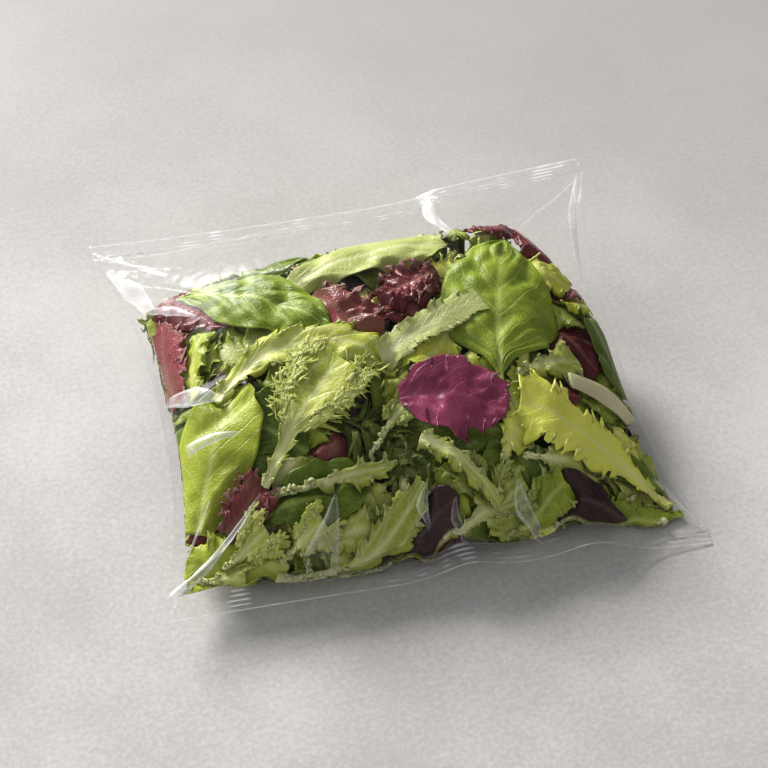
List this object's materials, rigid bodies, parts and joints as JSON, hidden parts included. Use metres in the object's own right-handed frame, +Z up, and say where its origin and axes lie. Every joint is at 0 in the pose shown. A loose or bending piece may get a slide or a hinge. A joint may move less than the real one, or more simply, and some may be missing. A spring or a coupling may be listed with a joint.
{
  "type": "bag of salad leaves",
  "caption": "Sealed clear film pillow bag filled with mixed salad leaves, lying flat, with a crimped seal across each end and pressed corner ears.",
  "frame": {"origin": "middle of the footprint, on the surface that the bag rests on", "axes": "+X along the seals to the right, +Y from the front seal to the back seal, +Z up"},
  "size_m": [0.262, 0.242, 0.0717],
  "materials": {
    "leafy_film": "gloss"
  },
  "bodies": {
    "root": {"salad_bag": "leafy_film"}
  },
  "joints": []
}
